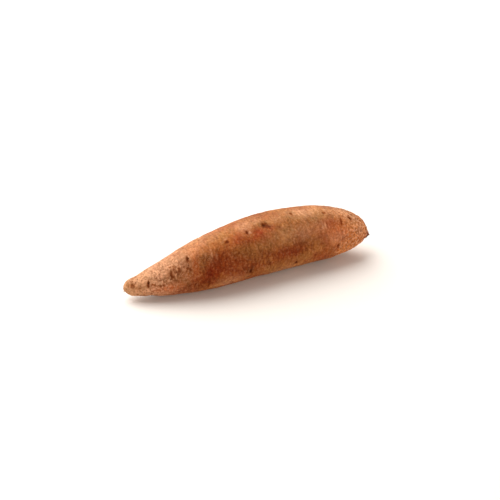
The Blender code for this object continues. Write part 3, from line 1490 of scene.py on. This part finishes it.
@dataclass
class Studio:
    """The pale floor, the soft lights and the camera.

    Attributes:
        azimuth: The camera's angle round the root, in degrees: 0 looks along +Y.
        elevation: Its angle above the floor, in degrees.
        distance: How far it stands from its aim, in metres.
        lens: Its focal length, in millimetres.
        sensor: Its sensor's width, in millimetres.
        aim: The point that it looks at.
        floor_size: The floor's side, in metres.
        fade_from: The rise above the horizon at which the daylight starts to fade.
        fade_to: The rise at which it stops fading.
        low_light: The daylight's strength at the horizon.
        high_light: Its strength overhead.
        lamp_distance: How far the lamps hang from the root, in metres.
        white: The key light's colour.
        amber: The fill light's colour.
        daylight_tone: The daylight's colour.
    """

    azimuth: float = -20.5
    elevation: float = 32.0
    distance: float = 1.295
    lens: float = 106.0
    sensor: float = 36.0
    aim: Vector = Vector((0.002, -0.001, 0.024))
    floor_size: float = 60.0
    fade_from: float = 0.02
    fade_to: float = 0.16
    low_light: float = 0.97
    high_light: float = 0.40
    lamp_distance: float = 1.6
    white: Tone = Tone(255, 252, 248)
    amber: Tone = Tone(255, 196, 150)
    daylight_tone: tuple[float, float, float, float] = (1.0, 0.98, 0.96, 1.0)

    def direction(self, azimuth: float, elevation: float) -> Vector:
        """Finds the way from the root to something that stands round it.

        Args:
            azimuth: Its angle round the root, in degrees.
            elevation: Its angle above the floor, in degrees.

        Returns:
            The direction, of length 1.
        """
        turn, rise = math.radians(azimuth), math.radians(elevation)
        return Vector((
            math.sin(turn) * math.cos(rise),
            -math.cos(turn) * math.cos(rise),
            math.sin(rise),
        ))

    def floor(self) -> bpy.types.Object:
        """Lays the floor.

        Returns:
            The floor, which is no part of the object.
        """
        bm = bmesh.new()
        bmesh.ops.create_grid(bm, x_segments=1, y_segments=1, size=self.floor_size / 2)
        mesh = bpy.data.meshes.new("floor")
        bm.to_mesh(mesh)
        bm.free()
        mesh.materials.append(FloorFinish().material())
        floor = placed("floor", mesh)
        return floor

    def lamp(
        self, name: str, azimuth: float, elevation: float, size: float, power: float, tint: Tone
    ) -> None:
        """Hangs a square soft light that faces the root.

        Args:
            name: Its name.
            azimuth: Its angle round the root, in degrees.
            elevation: Its angle above the floor, in degrees.
            size: Its side, in metres.
            power: Its power, in watts.
            tint: Its colour.
        """
        way = self.direction(azimuth, elevation)
        data = bpy.data.lights.new(name, "AREA")
        data.shape = "SQUARE"
        data.size = size
        data.energy = power
        data.color = tint.linear()[:3]
        lamp = placed(name, data)
        lamp.location = way * self.lamp_distance
        lamp.rotation_mode = "QUATERNION"
        lamp.rotation_quaternion = way.to_track_quat("Z", "Y")

    def daylight(self) -> None:
        """Fills the room with even white light, and sets how the picture is shown."""
        world = bpy.data.worlds.new("studio")
        world.use_nodes = True
        background = world.node_tree.nodes["Background"]
        background.inputs["Color"].default_value = self.daylight_tone
        tree = world.node_tree
        way = tree.nodes.new("ShaderNodeTexCoord").outputs["Generated"]
        parts = tree.nodes.new("ShaderNodeSeparateXYZ")
        tree.links.new(way, parts.inputs["Vector"])
        glow = tree.nodes.new("ShaderNodeMapRange")
        tree.links.new(parts.outputs["Z"], glow.inputs["Value"])
        glow.inputs["From Min"].default_value = self.fade_from
        glow.inputs["From Max"].default_value = self.fade_to
        glow.inputs["To Min"].default_value = self.low_light
        glow.inputs["To Max"].default_value = self.high_light
        tree.links.new(glow.outputs["Result"], background.inputs["Strength"])
        bpy.context.scene.world = world
        bpy.context.scene.view_settings.view_transform = "Standard"

    def camera(self) -> None:
        """Sets the camera at the reference's angle."""
        way = self.direction(self.azimuth, self.elevation)
        data = bpy.data.cameras.new("camera")
        data.sensor_width = self.sensor
        data.lens = self.lens
        camera = placed("camera", data)
        camera.location = self.aim + way * self.distance
        camera.rotation_mode = "QUATERNION"
        camera.rotation_quaternion = (-way).to_track_quat("-Z", "Y")
        bpy.context.scene.camera = camera

    def build(self) -> None:
        """Sets up the floor, the lights and the camera."""
        self.camera()
        self.floor()
        self.daylight()
        self.lamp("key", azimuth=-156, elevation=52, size=2.5, power=72, tint=self.white)
        self.lamp("fill", azimuth=25, elevation=25, size=1.0, power=6, tint=self.amber)


@dataclass
class Growths:
    """What stands on the skin: the cut stem, the torn root thread and the broken rootlets.

    Attributes:
        skin: The root's skin.
        axis: The root's axis.
        marks: All the marks on the skin.
        stem_share: The share of the length at which the stem's foot stands.
        stem_rise: How far the foot is above the root's lowest line there, in metres.
        stem_way: The direction in which the stem points.
        thread_share: The share of the length at which the thread's foot stands.
        thread_rise: How far the foot is above the root's lowest line there, in metres.
        thread_way: The direction in which the thread points.
    """

    skin: bpy.types.Object
    axis: RootAxis
    marks: list[Spot]
    stem_share: float = 0.987
    stem_rise: float = 0.0016
    stem_way: Vector = Vector((0.75, -0.15, -0.62))
    thread_share: float = 0.014
    thread_rise: float = 0.0045
    thread_way: Vector = Vector((-1, 0, 0))

    def foot(self, share: float, rise: float) -> Vector:
        """A point above the root's lowest line, at a share of the length."""
        return self.axis.point(share, BELOW) + Vector((0, 0, rise))

    def build(self) -> list[bpy.types.Object]:
        """Makes the growths.

        Returns:
            The finished pieces.
        """
        dark = DARK_WOOD.material()
        stem_foot = self.foot(self.stem_share, self.stem_rise)
        stem_way = self.stem_way.normalized()
        stem = TornEnd("cut_stem", stem_foot, stem_way, radius=2.2, length=2.6, fibres=16, seed=3)
        thread_foot = self.foot(self.thread_share, self.thread_rise)
        thread = TornEnd(
            "torn_root_thread", thread_foot, self.thread_way, radius=1.5, length=2.4, fibres=9, seed=8
        )
        return [
            stem.build(dark),
            thread.build(PALE_WOOD.material()),
            Rootlets(self.skin, self.axis, self.marks).build(dark),
        ]


def main() -> None:
    """Builds the studio and the root, and reports each piece."""
    logging.basicConfig(level=logging.INFO, format="%(name)s: %(message)s")
    Studio().build()
    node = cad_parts[NODE]
    axis = RootAxis.of_node(node)
    marks = all_marks()
    skin = RootBody(node, axis, marks, SkinFinish()).build()
    for piece in (skin, *Growths(skin, axis, marks).build()):
        log.info("%s: %d faces", piece.name, len(piece.data.polygons))


if __name__ == "__main__":
    main()
